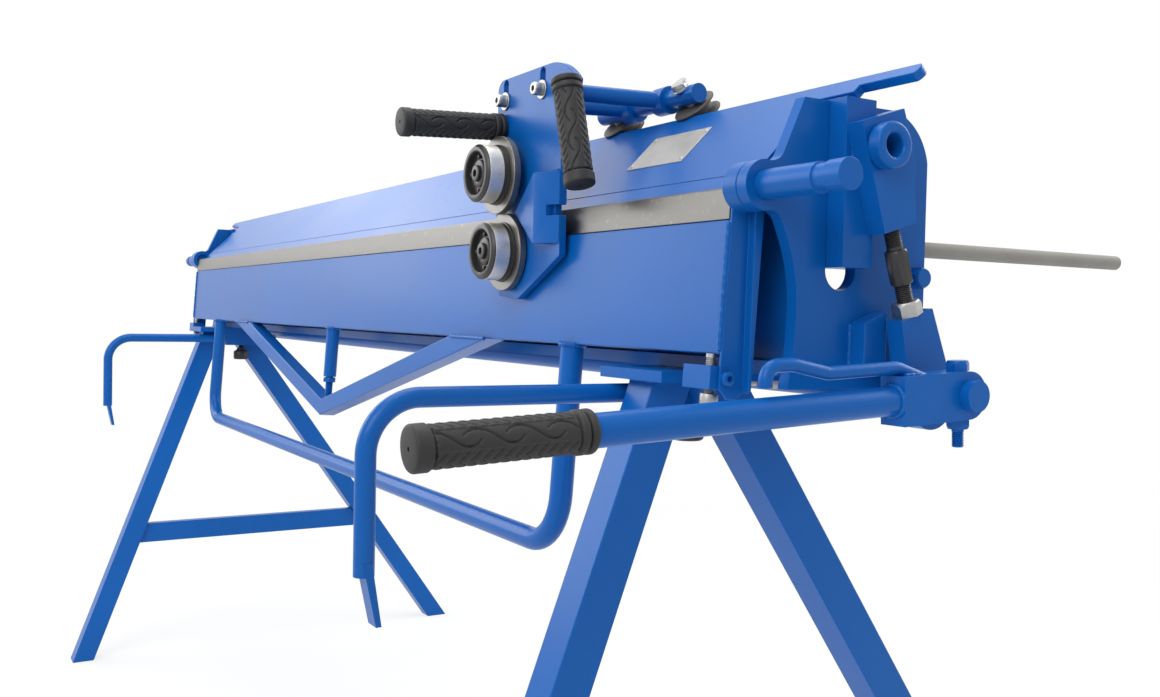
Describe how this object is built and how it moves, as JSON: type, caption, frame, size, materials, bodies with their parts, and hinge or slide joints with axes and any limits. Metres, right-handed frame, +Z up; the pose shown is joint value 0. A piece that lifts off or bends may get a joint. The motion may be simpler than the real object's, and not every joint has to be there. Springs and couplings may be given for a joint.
{
  "type": "roofing sheet metal brake",
  "caption": "Manual sheet-metal folding brake on trestle legs: lever-clamped sloping upper beam, hinged folding beam with lift handle, and a roller cutter that runs along the beam.",
  "frame": {"origin": "on the floor under the middle of the machine's box", "axes": "+X along the fold line to the lever's end, +Y to the rear, +Z up"},
  "size_m": [2.254, 0.9266, 1.042],
  "materials": {
    "blue_paint": "glossy blue enamel",
    "polished_steel": "ground and polished steel",
    "zinc": "zinc-plated fasteners",
    "dark_steel": "hardened dark steel",
    "black_paint": "black oiled steel",
    "grey_paint": "matte grey",
    "aluminium_plate": "bare satin plate",
    "rubber": "moulded rubber grips",
    "black_plastic": "moulded pulleys and knobs"
  },
  "bodies": {
    "frame": {"lower_beam": "blue_paint", "table_blade": "polished_steel", "side_plate_right": "blue_paint", "side_plate_left": "blue_paint", "trestle_heads": "blue_paint", "front_legs": "blue_paint", "rear_legs": "blue_paint", "leg_crossbars": "blue_paint", "trestle_bolts": "zinc", "hinge_pins": "blue_paint", "shaft_gussets": "blue_paint", "rear_rods": "grey_paint", "rod_clamps": "blue_paint", "rod_clamp_screws": "blue_paint", "arm_sleeves": "blue_paint"},
    "upper_beam": {"upper_plate": "blue_paint", "clamp_bar": "blue_paint", "upper_stiffener": "blue_paint", "end_tongues": "blue_paint", "clamp_links": "blue_paint", "link_pins": "blue_paint", "tension_rods": "black_paint", "rod_nuts": "zinc", "yokes": "blue_paint", "nameplate": "aluminium_plate"},
    "fold_beam": {"fold_plate": "blue_paint", "fold_blade": "polished_steel", "fold_arms": "blue_paint", "adjust_blocks": "blue_paint", "adjust_screws": "zinc", "block_screws": "blue_paint", "lift_handle": "blue_paint", "truss_brace": "blue_paint", "camber_strut": "blue_paint", "camber_screw": "blue_paint"},
    "clamp_lever": {"cross_shaft": "dark_steel", "lever_hub": "blue_paint", "lever_tube": "blue_paint", "lever_grip": "rubber", "lever_hook": "blue_paint", "pinch_bolt": "blue_paint"},
    "cutter_guide": {"guide_bar": "blue_paint", "pulley_axles": "zinc"},
    "cutter": {"cutter_plate": "blue_paint", "cutter_wedge": "blue_paint", "guide_arms": "blue_paint", "guide_arm_bolts": "zinc", "cutter_handles": "blue_paint", "cutter_grips": "rubber", "knife_axles": "dark_steel"},
    "upper_roller": {"upper_knife": "dark_steel", "upper_collar": "polished_steel"},
    "lower_roller": {"lower_knife": "dark_steel", "lower_collar": "polished_steel"},
    "pulley_right": {"right_pulley": "black_plastic"},
    "pulley_left": {"left_pulley": "black_plastic"},
    "hook_right": {"hook_arm_right": "blue_paint"},
    "hook_left": {"hook_arm_left": "blue_paint"},
    "lock_right": {"knob_right": "black_plastic"},
    "lock_left": {"knob_left": "black_plastic"}
  },
  "joints": [
    {"name": "fold_hinge", "type": "hinge", "parent": "frame", "child": "fold_beam", "pos_m": [0, -0.12513, 0.89], "axis": [-1, 0, 0], "range_deg": [0, 120]},
    {"name": "beam_lift", "type": "slide", "parent": "frame", "child": "upper_beam", "axis": [0, 0, 1], "range_m": [0, 0.01272]},
    {"name": "lever_turn", "type": "hinge", "parent": "frame", "child": "clamp_lever", "pos_m": [0, 0.02687, 0.721], "axis": [1, 0, 0], "range_deg": [0, 90]},
    {"name": "cutter_travel", "type": "slide", "parent": "upper_beam", "child": "cutter_guide", "axis": [1, 0, 0], "range_m": [-1.58, 0.25]},
    {"name": "cutter_tip", "type": "hinge", "parent": "cutter_guide", "child": "cutter", "pos_m": [0.712, -0.02365, 1.01269], "axis": [-1, 0, 0], "range_deg": [0, 90]},
    {"name": "upper_roller_spin", "type": "hinge", "parent": "cutter", "child": "upper_roller", "pos_m": [0.631, -0.17513, 0.932], "axis": [0, -1, 0], "continuous": true},
    {"name": "lower_roller_spin", "type": "hinge", "parent": "cutter", "child": "lower_roller", "pos_m": [0.631, -0.17513, 0.848], "axis": [0, -1, 0], "continuous": true},
    {"name": "right_pulley_spin", "type": "hinge", "parent": "cutter_guide", "child": "pulley_right", "pos_m": [0.782, -0.00951, 0.99855], "axis": [0, -0.7071, 0.7071], "continuous": true},
    {"name": "left_pulley_spin", "type": "hinge", "parent": "cutter_guide", "child": "pulley_left", "pos_m": [0.641, -0.00951, 0.99855], "axis": [0, -0.7071, 0.7071], "continuous": true},
    {"name": "right_hook_slide", "type": "slide", "parent": "frame", "child": "hook_right", "axis": [0, -1, 0], "range_m": [-0.044, 0.03]},
    {"name": "left_hook_slide", "type": "slide", "parent": "frame", "child": "hook_left", "axis": [0, -1, 0], "range_m": [0, 0.074]},
    {"name": "right_knob_turn", "type": "hinge", "parent": "frame", "child": "lock_right", "pos_m": [0.858, -0.06913, 0.675], "axis": [0, 0, 1], "continuous": true},
    {"name": "left_knob_turn", "type": "hinge", "parent": "frame", "child": "lock_left", "pos_m": [-0.858, -0.06913, 0.675], "axis": [0, 0, 1], "continuous": true}
  ],
  "couplings": [
    {"joint": "lever_turn", "follows": "beam_lift", "rad_per_m": 123.4},
    {"joint": "cutter_tip", "follows": "fold_hinge", "ratio": 0.75}
  ]
}
